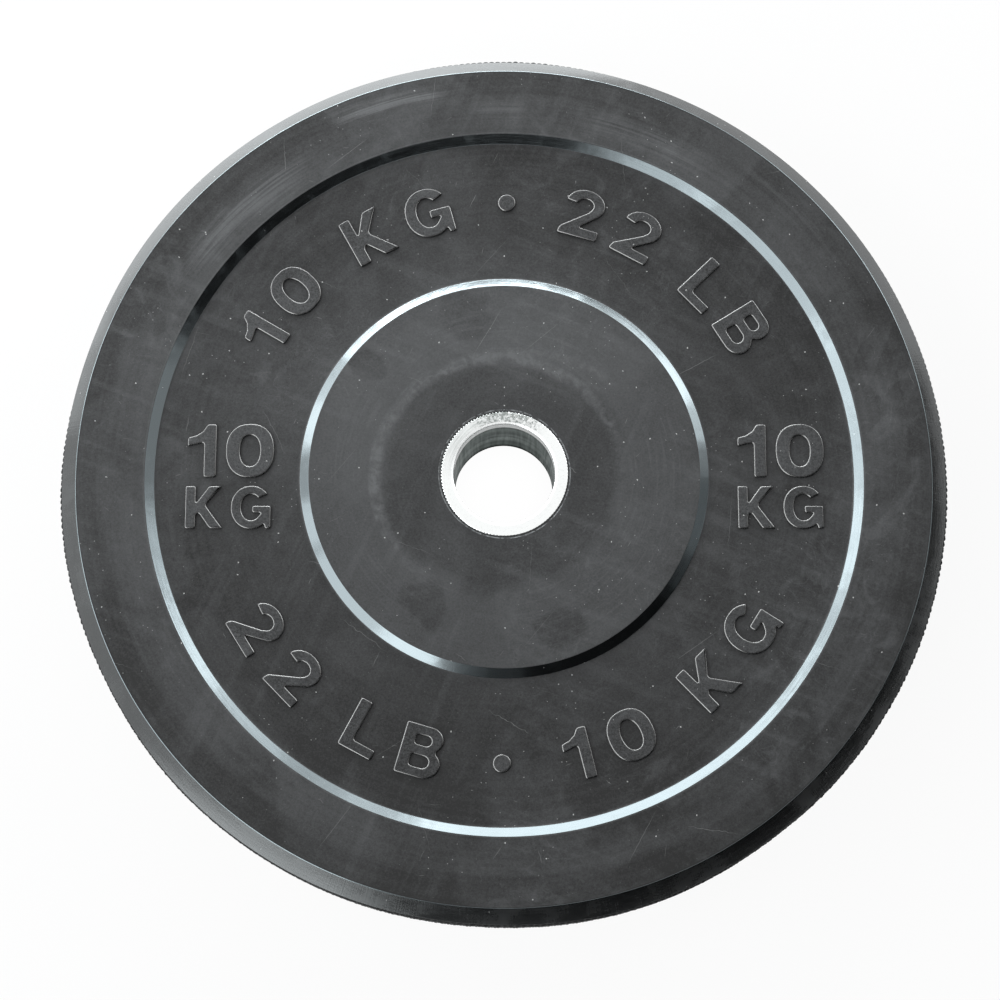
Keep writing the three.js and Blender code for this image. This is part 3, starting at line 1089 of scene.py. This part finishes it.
def bore_steel():
    """The bore's wall: dull plating marked by bars, a polished mouth with a painted highlight, painted shade deeper
    in.
    """
    finish = Finish("bore_steel", {"Metallic": 1.0})
    upright = finish.node("ShaderNodeMapping", {"Vector": finish.place, "Scale": (1, 1, 0.05)})
    rubbed = finish.noise(700, 3, place=upright)
    round_it = finish.node("ShaderNodeMapping", {"Vector": finish.place, "Scale": (0.08, 0.08, 1)})
    bands = finish.noise(260, 3, place=round_it)
    wear = finish.total((rubbed, 0.15), bands, (finish.noise(70, 4), 0.5))
    share = finish.ramp(wear, 0.55, 1.1)
    height = finish.axis("Z")
    mouth = finish.ramp(height, *BORE_MOUTH)
    # Painted shade: the wall and the tint of its gloss are painted darker towards the far end, at the far edge, and
    # on one side of the mouth
    painted_shade = finish.clamp(finish.total(
        finish.ramp(height, 0, -SLEEVE_Z + LEAD_IN_DEPTH, 0, 0.35),
        finish.ramp(height, *BORE_FAR_EDGE, 0, 0.62),
        (finish.towards(*PAINTED_SHADE_MOUTH_SIDE), mouth),
    ))
    # The mouth is polished, and painted bright as a highlight
    plating_and_painted_highlight = finish.over(mouth, finish.tint(share, DARK_BORE_ZINC, BORE_ZINC), ZINC)
    polished = finish.over(mouth, finish.tint(share, (0.72, 0.77, 0.76), (0.94, 1.0, 0.98)), (1.0, 1.0, 1.0))
    finish.set(finish.shader.inputs["Specular Tint"], finish.over(painted_shade, polished, (0.12, 0.13, 0.125)))
    finish.bumps((rubbed, 0.000015))
    roughness = finish.total(finish.ramp(rubbed, 0.3, 0.7, 0.28, 0.45), (mouth, -0.15))
    return finish.finish(finish.over(painted_shade, plating_and_painted_highlight, PAINTED_BORE_SHADE), roughness)


def sheet_steel():
    """The anchor flange, which the rubber hides."""
    finish = Finish("sheet_steel", {"Metallic": 1.0})
    scale = finish.ramp(finish.noise(60, 4), 0.4, 0.65)
    finish.bumps((finish.noise(800, 3), 0.00004))
    return finish.finish(finish.tint(scale, BARE_SHEET, SHEET_SCALE), finish.ramp(scale, 0, 1, 0.4, 0.6))


# Studio

def matt_material(name, shade):
    material = bpy.data.materials.new(name)
    material.use_nodes = True
    shader = material.node_tree.nodes["Principled BSDF"]
    shader.inputs["Base Color"].default_value = (shade, shade, shade, 1)
    shader.inputs["Roughness"].default_value = 1.0
    shader.inputs["Specular IOR Level"].default_value = 0.0
    return material, shader


def white_for_lens(nodes, lit, lens_share, gloss_share):
    """Mixes a shader with a share of plain white for rays from the camera, and for those that a gloss sends on."""
    rays = nodes.node("ShaderNodeLightPath").node.outputs
    sent_on = nodes.calc("MAXIMUM", rays["Is Glossy Ray"], rays["Is Transmission Ray"])
    seen = nodes.calc("MULTIPLY", rays["Is Camera Ray"], lens_share)
    white_share = nodes.calc("MAXIMUM", seen, nodes.calc("MULTIPLY", sent_on, gloss_share))
    return nodes.node("ShaderNodeMixShader", {0: white_share, 1: lit, 2: nodes.node("ShaderNodeEmission")})


def floor():
    z = cad_low[2] - FLOOR_DROP
    half = FLOOR_SIZE / 2
    corners = [(-half, -half, z), (half, -half, z), (half, half, z), (-half, half, z)]
    piece = new_object("floor", corners, [(0, 1, 2, 3)])
    material, shader = matt_material("floor", FLOOR_SHADE)
    nodes = Nodes(material.node_tree)
    length = nodes.vector("LENGTH", nodes.node("ShaderNodeTexCoord", output="Object"), output="Value")
    shares = [nodes.ramp(length, *FLOOR_RING, *ends) for ends in FLOOR_WHITE]
    shown = white_for_lens(nodes, shader.outputs[0], *shares)
    nodes.set(nodes.tree.nodes["Material Output"].inputs["Surface"], shown)
    piece.data.materials.append(material)


def world():
    scene_world = bpy.data.worlds.new("studio")
    scene_world.use_nodes = True
    bpy.context.scene.world = scene_world
    nodes = Nodes(scene_world.node_tree)
    background = nodes.tree.nodes["Background"]
    background.inputs["Color"].default_value = (1, 1, 1, 1)
    background.inputs["Strength"].default_value = WORLD_LIGHT
    shown = white_for_lens(nodes, background.outputs[0], 1.0, 1.0)
    nodes.set(nodes.tree.nodes["World Output"].inputs["Surface"], shown)


def lamp(name, width, height, radiance, place, back):
    """An even rectangle of light, whose back faces along the vector back. The lens doesn't see it."""
    data = bpy.data.lights.new(name, "AREA")
    data.shape = "RECTANGLE"
    data.size = width
    data.size_y = height
    data.energy = radiance * math.pi * width * height
    data.color = LAMP_COLOUR
    piece = add_object(name, data)
    piece.location = place
    piece.rotation_euler = back.to_track_quat("Z", "Y").to_euler()
    piece.visible_camera = False
    return piece


def softboxes():
    for index, (azimuths, elevations, distance, radiance) in enumerate(SOFTBOXES):
        azimuth, elevation = (math.radians(sum(span) / 2) for span in (azimuths, elevations))
        half_width, half_height = (math.radians(span[1] - span[0]) / 2 for span in (azimuths, elevations))
        width = 2 * distance * math.tan(half_width) * math.cos(elevation)
        height = 2 * distance * math.tan(half_height)
        away = Vector((math.cos(azimuth), math.sin(azimuth), math.tan(elevation))).normalized()
        lamp(f"softbox_{index}", width, height, radiance, away * distance, away)


def panels():
    for index, (azimuth, (near, far), width, radiance) in enumerate(PANELS):
        turn = math.radians(azimuth)
        middle = (near + far) / 2
        place = Vector((middle * math.cos(turn), middle * math.sin(turn), cad_low[2] + PANEL_LIFT))
        piece = lamp(f"panel_{index}", far - near, width, radiance, place, Vector((0, 0, -1)))
        piece.rotation_euler = (math.pi, 0, turn)


def curtains():
    """The slopes that face the curtains show them, dark or grey. The lens doesn't see them."""
    bottom = cad_low[2] + CURTAIN_LIFT
    for index, (azimuths, *ends, shade) in enumerate(CURTAINS):
        vertices, faces = [], []
        start, end = (math.radians(azimuth) for azimuth in azimuths)
        for step in range(CURTAIN_STEPS + 1):
            angle = start + (end - start) * step / CURTAIN_STEPS
            first = len(vertices)
            vertices += [(r * math.cos(angle), r * math.sin(angle), bottom + z) for r, z in ends]
            if step < CURTAIN_STEPS:
                faces.append((first, first + 2, first + 3, first + 1))
        piece = new_object(f"curtain_{index}", vertices, faces)
        piece.data.materials.append(matt_material(f"curtain_{index}", shade)[0])
        piece.visible_camera = False


def camera():
    data = bpy.data.cameras.new("camera")
    data.lens = CAMERA_LENS
    data.sensor_width = CAMERA_SENSOR
    data.clip_end = 100.0
    eye = add_object("camera", data)
    turn = Matrix.Rotation(CAMERA_TILT, 4, "X") @ Matrix.Rotation(CAMERA_YAW, 4, "Y")
    eye.matrix_world = Matrix.Translation(CAMERA_PLACE) @ turn
    bpy.context.scene.camera = eye


def dress(piece):
    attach(piece, "root")
    return piece


camera()
world()
floor()
softboxes()
panels()
curtains()

worn = worn_rubber()
polished = polished_rubber("polished_rubber", (0.82, 0.95, 1.0), 0.10)
slopes = polished_rubber("mark_slopes", (1.0, 0.99, 0.98), 0.22)
body = dress(rubber_body(worn, polished, skimmed_rubber(), flash_rubber()))
dress(knurled_tread(tread_rubber()))
dress(raised_marks("front_marks", worn, slopes, False))
dress(raised_marks("back_marks", worn, slopes, True))
insert = dress(steel_insert(end_steel(), bore_steel()))
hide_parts("rubber_disc")
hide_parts("insert_sleeve")
flange = frame["nodes"]["anchor_flange"]
flange.data.materials.clear()
flange.data.materials.append(sheet_steel())

bpy.context.scene.view_settings.view_transform = "Standard"
